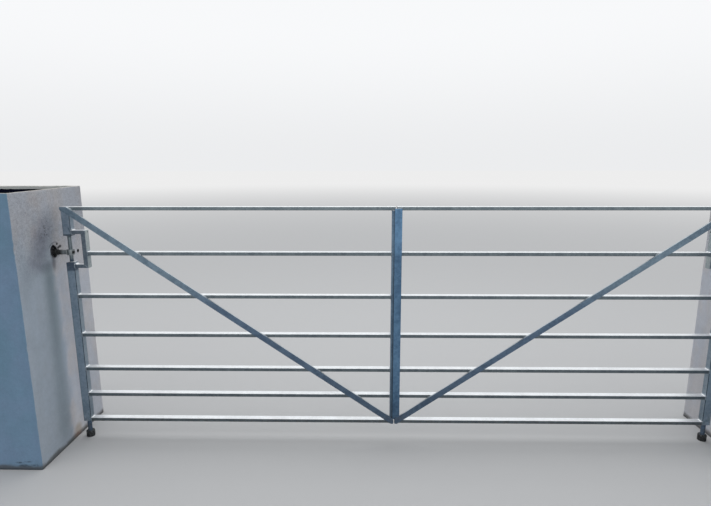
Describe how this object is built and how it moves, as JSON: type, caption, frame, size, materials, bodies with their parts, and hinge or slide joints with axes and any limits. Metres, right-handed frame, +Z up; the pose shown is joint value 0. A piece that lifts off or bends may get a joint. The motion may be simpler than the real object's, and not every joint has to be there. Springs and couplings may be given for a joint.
{
  "type": "pair of field gates with masonry piers",
  "caption": "Pair of galvanised box-section field gates with diagonal braces and a notched hinge stile, hung between two square rendered masonry piers.",
  "frame": {"origin": "on the ground, midway between the two piers and in the middle of their depth", "axes": "+X along the gates to the viewer's right, +Y from the viewer's side to the far side, +Z up"},
  "size_m": [5, 0.62, 1.472],
  "materials": {
    "galvanised_steel": "hot-dip galvanised, weathered to a dull blue grey with bright upper faces",
    "hinge_steel": "galvanised hardware, darker and a little dirty",
    "render": "smooth sand and cement render, pale grey with weather stains",
    "blockwork": "rough dark concrete blockwork, open at the top"
  },
  "bodies": {
    "piers": {"left_foot_socket": "hinge_steel", "left_hinge_eye": "hinge_steel", "left_hinge_nut": "hinge_steel", "left_pier_core": "blockwork", "left_pier_render": "render", "right_foot_socket": "hinge_steel", "right_hinge_eye": "hinge_steel", "right_hinge_nut": "hinge_steel", "right_pier_core": "blockwork", "right_pier_render": "render"},
    "left_leaf": {"left_brace": "galvanised_steel", "left_foot_pin": "galvanised_steel", "left_hinge_bar": "galvanised_steel", "left_hinge_stile_lower": "galvanised_steel", "left_hinge_stile_upper": "galvanised_steel", "left_meeting_stile": "galvanised_steel", "left_notch_lower_arm": "galvanised_steel", "left_notch_post": "galvanised_steel", "left_notch_upper_arm": "galvanised_steel", "left_rail_1": "galvanised_steel", "left_rail_2": "galvanised_steel", "left_rail_3": "galvanised_steel", "left_rail_4": "galvanised_steel", "left_rail_5": "galvanised_steel", "left_rail_6": "galvanised_steel", "left_rail_7": "galvanised_steel"},
    "right_leaf": {"right_brace": "galvanised_steel", "right_foot_pin": "galvanised_steel", "right_hinge_bar": "galvanised_steel", "right_hinge_stile_lower": "galvanised_steel", "right_hinge_stile_upper": "galvanised_steel", "right_meeting_stile": "galvanised_steel", "right_notch_lower_arm": "galvanised_steel", "right_notch_post": "galvanised_steel", "right_notch_upper_arm": "galvanised_steel", "right_rail_1": "galvanised_steel", "right_rail_2": "galvanised_steel", "right_rail_3": "galvanised_steel", "right_rail_4": "galvanised_steel", "right_rail_5": "galvanised_steel", "right_rail_6": "galvanised_steel", "right_rail_7": "galvanised_steel", "right_stop_bar": "galvanised_steel", "right_stop_bar_packer": "galvanised_steel"}
  },
  "joints": [
    {"name": "left_leaf_hinge", "type": "hinge", "parent": "piers", "child": "left_leaf", "pos_m": [-1.8095, 0.029, 0.7], "axis": [0, 0, 1], "range_deg": [0, 90]},
    {"name": "right_leaf_hinge", "type": "hinge", "parent": "piers", "child": "right_leaf", "pos_m": [1.8095, 0.029, 0.7], "axis": [0, 0, 1], "range_deg": [0, 90]}
  ]
}
